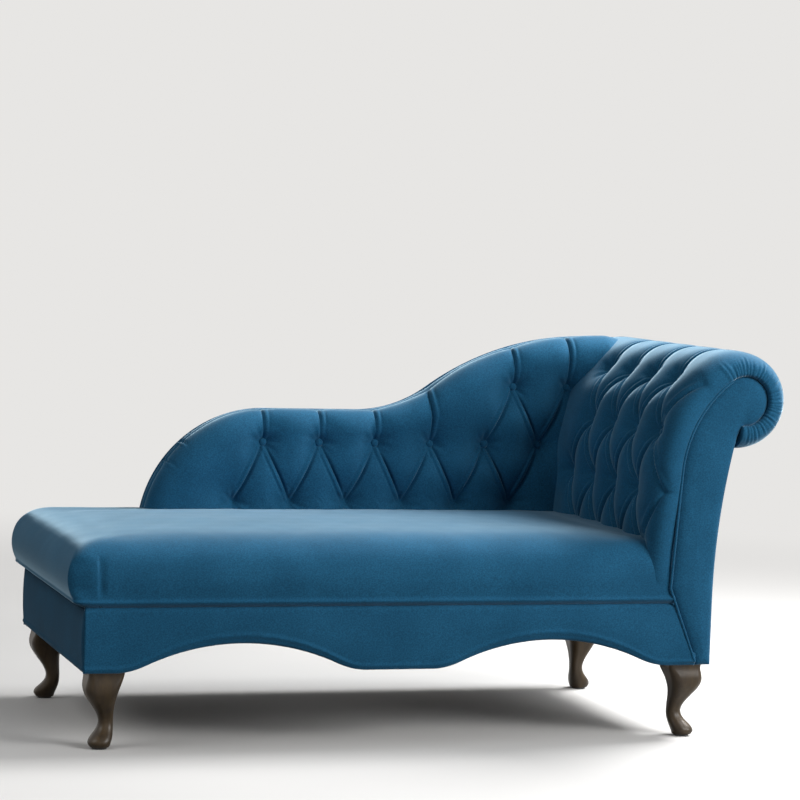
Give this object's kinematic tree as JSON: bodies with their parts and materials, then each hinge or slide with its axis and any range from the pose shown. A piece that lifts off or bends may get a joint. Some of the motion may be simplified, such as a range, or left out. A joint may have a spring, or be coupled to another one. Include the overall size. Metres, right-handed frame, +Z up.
{
  "type": "chaise longue",
  "caption": "Upholstered chaise longue with a diamond-tufted sweeping back, a tufted scroll head end, a waterfall seat, a scalloped apron and dark cabriole legs.",
  "frame": {"origin": "on the floor, below the middle of the whole outline", "axes": "+X towards the scrolled head end, -Y the front, +Z up"},
  "size_m": [1.5939, 0.72, 0.8574],
  "materials": {
    "velvet": "short pile velvet, peacock blue",
    "foam": "upholstery foam",
    "webbing": "woven elastic webbing",
    "dust_cloth": "black spunbond cloth",
    "plywood": "raw plywood",
    "frame_wood": "planed hardwood",
    "leg_wood": "dark stained, satin lacquer",
    "steel": "zinc plated",
    "glide": "moulded nylon"
  },
  "bodies": {
    "root": {"back_board": "plywood", "back_buttons": "velvet", "back_pad": "velvet", "corner_blocks": "frame_wood", "cross_rails": "frame_wood", "dust_cover": "dust_cloth", "facing_piping": "velvet", "foot_apron": "velvet", "foot_rail": "frame_wood", "front_apron": "velvet", "front_rail": "frame_wood", "front_rail_drops": "frame_wood", "head_battens": "frame_wood", "head_board_front": "plywood", "head_board_rear": "plywood", "head_buttons": "velvet", "head_lining": "plywood", "head_pad": "velvet", "head_rail": "frame_wood", "leg_bolts": "steel", "leg_front_foot": "leg_wood", "leg_front_head": "leg_wood", "leg_glides": "glide", "leg_plates": "steel", "leg_rear_foot": "leg_wood", "leg_rear_head": "leg_wood", "outer_back": "velvet", "outer_end": "velvet", "rear_rail": "frame_wood", "scroll_facing": "velvet", "seat_cover": "velvet", "seat_end_rail": "frame_wood", "seat_foam": "foam", "seat_straps_across": "webbing", "seat_straps_along": "webbing"}
  },
  "joints": []
}
